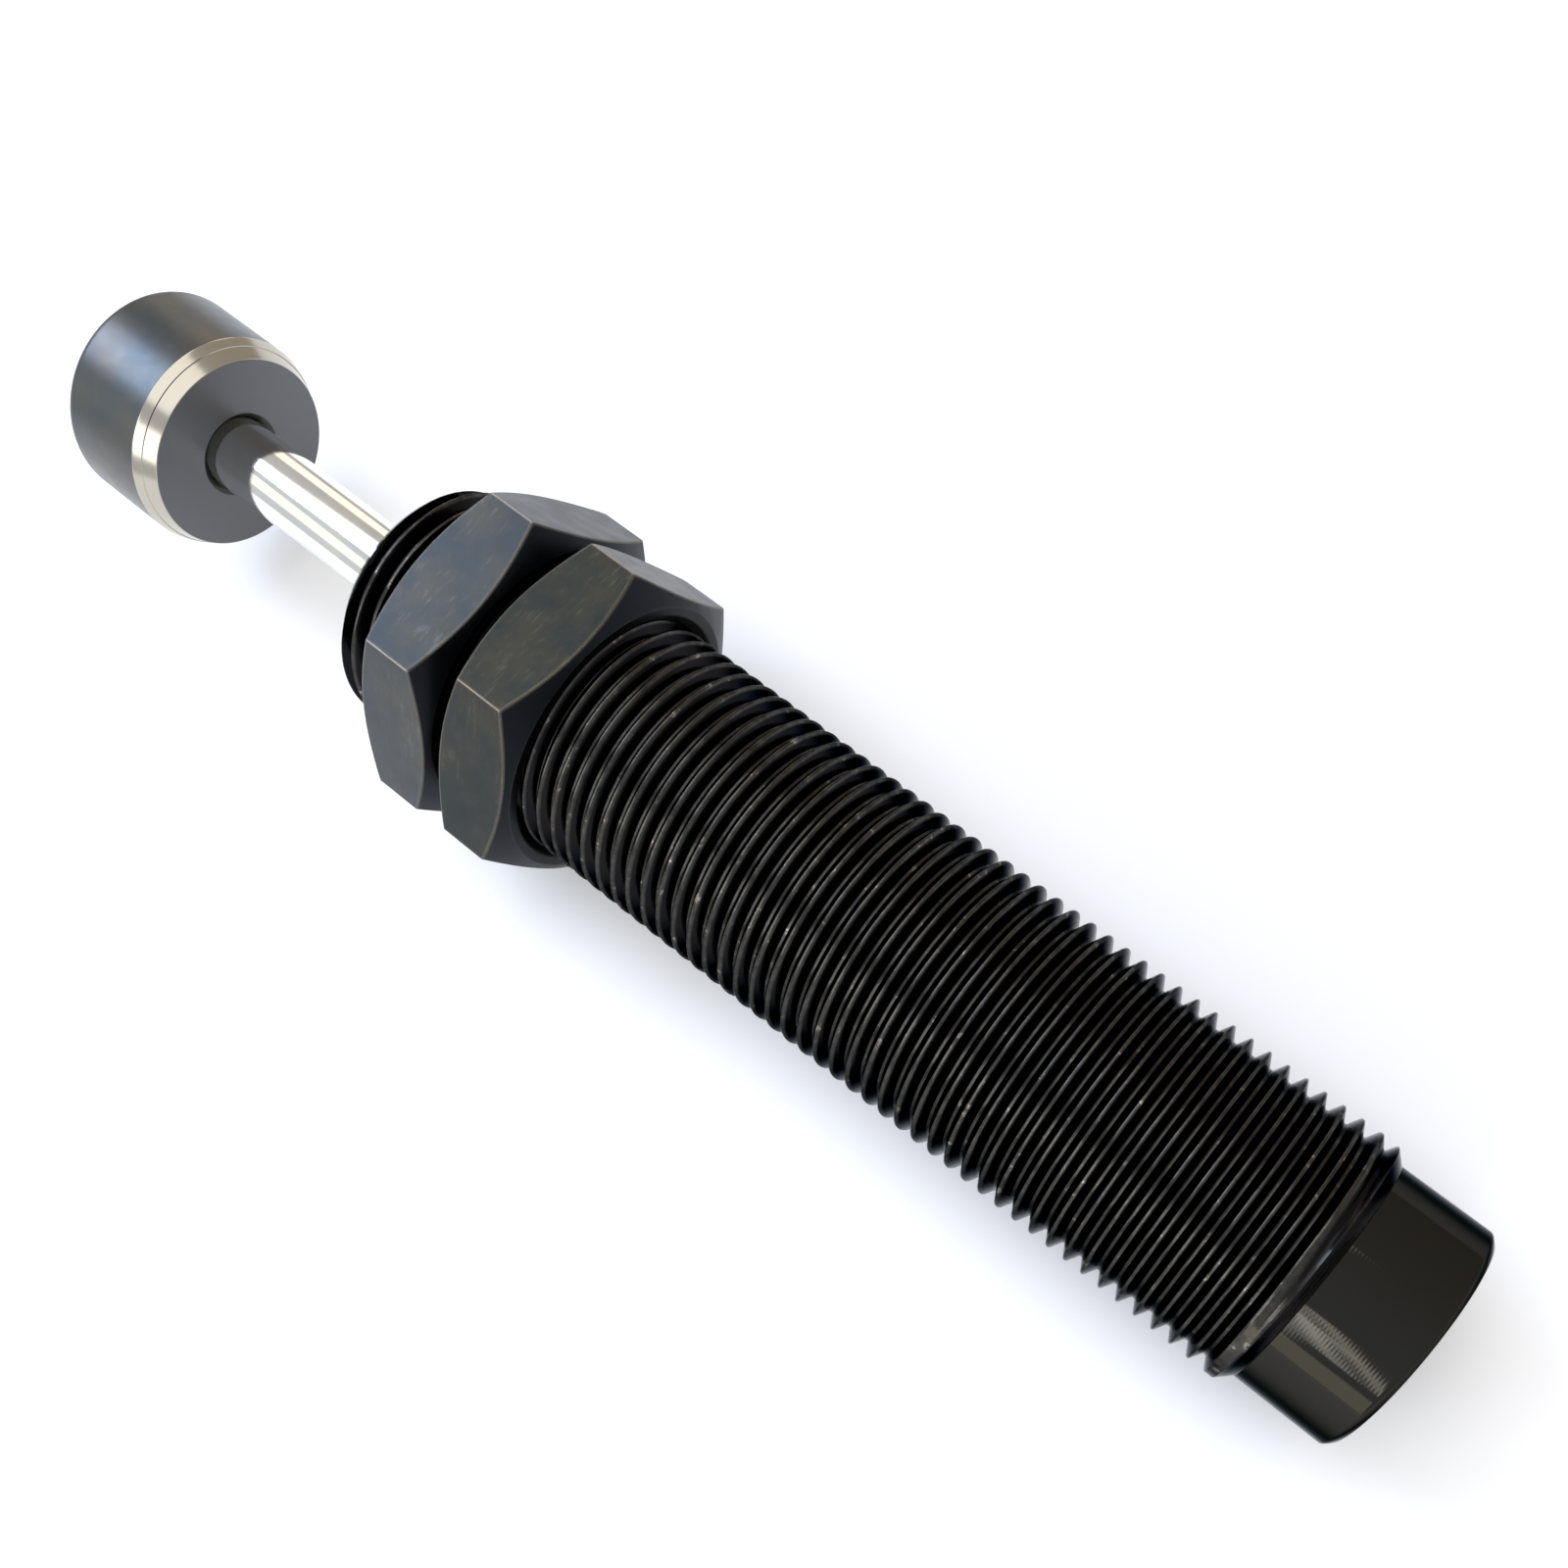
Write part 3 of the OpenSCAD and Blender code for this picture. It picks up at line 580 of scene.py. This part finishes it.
# The lathe leaves rings 0.05 mm apart, drawn here at 0.2 mm, to show.
spun = add_node(tree, "ShaderNodeTexWave",
                {"wave_type": "RINGS", "rings_direction": "X",
                 "Scale": wave_unit / 0.0002, "Distortion": 1.0},
                {"Vector": place})
turned_marks = add_node(tree, "ShaderNodeBump", {"Strength": 0.15, "Distance": 0.00001}, {"Height": spun})
tree.links.new(turned_marks.outputs[0], shader.inputs["Normal"])

cap = turned("strike_cap", cap_outline, cap_steel, closed=False, steps=160, sharp=24)
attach(cap, "rod_assembly")
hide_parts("cap")

# ---------------------------------------------------------------- guide, heads and tube
# Free-cutting steel, turned bright and left uncoated because it stays in oil: the rod guide,
# the two heads and the drilled pressure tube between them.
bright_steel, tree, shader, place = start_material("bright_turned_steel", "#B4B6B8", 1.0, 0.22)
tree.links.new(blotched(tree, place, 0.006, "#A9ACB0", "#BDBBB6").outputs[0], shader.inputs["Base Color"])
spun = add_node(tree, "ShaderNodeTexWave", {"Scale": wave_unit / 0.0002, "Distortion": 2.0},
                {"Vector": place})
gloss = add_node(tree, "ShaderNodeMapRange", {"To Min": 0.16, "To Max": 0.3}, {"Value": spun})
tree.links.new(gloss.outputs[0], shader.inputs["Roughness"])
turned_marks = add_node(tree, "ShaderNodeBump", {"Strength": 0.15, "Distance": 0.00001}, {"Height": spun})
tree.links.new(turned_marks.outputs[0], shader.inputs["Normal"])
dress(["rod_guide", "front_head", "pressure_tube", "rear_head", "fill_screw"], bright_steel)

# ---------------------------------------------------------------- bush and piston
# Bearing bronze, turned: warm yellow brown, a little dulled by oil, with the tool's rings.
bronze, tree, shader, place = start_material("bearing_bronze", "#B08A52", 1.0, 0.3)
tree.links.new(blotched(tree, place, 0.003, "#9F7A48", "#BC975E").outputs[0], shader.inputs["Base Color"])
spun = add_node(tree, "ShaderNodeTexWave", {"Scale": wave_unit / 0.0002, "Distortion": 2.0},
                {"Vector": place})
gloss = add_node(tree, "ShaderNodeMapRange", {"To Min": 0.22, "To Max": 0.4}, {"Value": spun})
tree.links.new(gloss.outputs[0], shader.inputs["Roughness"])
turned_marks = add_node(tree, "ShaderNodeBump", {"Strength": 0.15, "Distance": 0.00001}, {"Height": spun})
tree.links.new(turned_marks.outputs[0], shader.inputs["Normal"])
dress(["guide_bush", "piston"], bronze)

# ---------------------------------------------------------------- accumulator foam
# A ring of closed-cell rubber foam takes up the oil that the rod displaces. It is cut from
# sheet, so its skin shows open cells of about 0.3 mm.
cell_foam, tree, shader, place = start_material("closed_cell_foam", "#2C2C2F", 0.0, 0.9)
shader.inputs["IOR"].default_value = 1.5
cells = add_node(tree, "ShaderNodeTexVoronoi", {"Scale": 1 / 0.0003}, {"Vector": place})
tones = add_node(tree, "ShaderNodeValToRGB", links={"Fac": cells.outputs["Distance"]})
tones.color_ramp.elements[0].color = colour("#1B1B1D")
tones.color_ramp.elements[1].color = colour("#3A3A3D")
tree.links.new(tones.outputs[0], shader.inputs["Base Color"])
gloss = add_node(tree, "ShaderNodeMapRange", {"To Min": 0.95, "To Max": 0.75},
                 {"Value": cells.outputs["Distance"]})
tree.links.new(gloss.outputs[0], shader.inputs["Roughness"])
pores = add_node(tree, "ShaderNodeBump", {"Strength": 0.6, "Distance": 0.0001},
                 {"Height": cells.outputs["Distance"]})
tree.links.new(pores.outputs[0], shader.inputs["Normal"])
dress(["accumulator_foam"], cell_foam)

# ---------------------------------------------------------------- piston ring
# Filled PTFE, machined and cut through at the joint: waxy, nearly black, with fine tool rings.
filled_ptfe, tree, shader, place = start_material("filled_ptfe", "#2A2623", 0.0, 0.45)
shader.inputs["IOR"].default_value = 1.38
tree.links.new(blotched(tree, place, 0.001, "#26221F", "#38322C").outputs[0], shader.inputs["Base Color"])
spun = add_node(tree, "ShaderNodeTexWave", {"Scale": wave_unit / 0.00015, "Distortion": 1.0},
                {"Vector": place})
gloss = add_node(tree, "ShaderNodeMapRange", {"To Min": 0.38, "To Max": 0.55}, {"Value": spun})
tree.links.new(gloss.outputs[0], shader.inputs["Roughness"])
turned_marks = add_node(tree, "ShaderNodeBump", {"Strength": 0.15, "Distance": 0.00001}, {"Height": spun})
tree.links.new(turned_marks.outputs[0], shader.inputs["Normal"])
dress(["piston_ring"], filled_ptfe)

# ---------------------------------------------------------------- balls
# Lapped bearing steel: the check ball in the piston, and the ball that seals the filling port.
ball_steel, tree, shader, place = start_material("lapped_ball_steel", "#C9CBCD", 1.0, 0.08)
tree.links.new(blotched(tree, place, 0.0015, "#BFC2C6", "#D2D0CB").outputs[0], shader.inputs["Base Color"])
haze = add_node(tree, "ShaderNodeTexNoise", {"Scale": 1 / 0.0004, "Detail": 5.0}, {"Vector": place})
gloss = add_node(tree, "ShaderNodeMapRange", {"To Min": 0.04, "To Max": 0.14}, {"Value": haze})
tree.links.new(gloss.outputs[0], shader.inputs["Roughness"])
scuffs = add_node(tree, "ShaderNodeBump", {"Strength": 0.05, "Distance": 0.00001}, {"Height": haze})
tree.links.new(scuffs.outputs[0], shader.inputs["Normal"])
dress(["check_ball", "fill_ball"], ball_steel)

# ---------------------------------------------------------------- return spring
# A compression spring wound from 0.9 mm patented wire, its end coils closed and ground flat.
# It pushes the piston back to the front head.
wire_r = 0.45
coil_r = 4.35
coils = 9
wind_steps = 32
ground_off = 0.3
closed_gap = 0.04
spring_low, spring_high = (corner * 1000 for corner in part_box("return_spring"))
closed_climb = 2 * wire_r + closed_gap
open_climb = (spring_high.x - spring_low.x + 2 * ground_off - 2 * wire_r - 2 * closed_climb) / coils
coil = bmesh.new()
bmesh.ops.create_circle(coil, segments=12, radius=wire_r, cap_ends=True)
bmesh.ops.rotate(coil, cent=(0, 0, 0), matrix=Matrix.Rotation(math.pi / 2, 3, "X"), verts=coil.verts)
bmesh.ops.translate(coil, vec=(spring_low.x - ground_off + wire_r, 0, coil_r), verts=coil.verts)
end = coil.verts[:] + coil.edges[:] + coil.faces[:]
for climb, count in ((closed_climb, 1), (open_climb, coils), (closed_climb, 1)):
    end = bmesh.ops.spin(coil, geom=end, cent=(0, 0, 0), axis=(1, 0, 0),
                         dvec=(climb / wind_steps, 0, 0), angle=math.tau * count,
                         steps=wind_steps * count, use_merge=False, use_duplicate=False)["geom_last"]
for vert in coil.verts:
    vert.co.x = min(max(vert.co.x, spring_low.x), spring_high.x)
return_spring = make_piece(coil, "wound_spring", spring_steel, sharp=60)
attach(return_spring, "barrel_assembly")
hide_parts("return_spring")
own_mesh(return_spring)
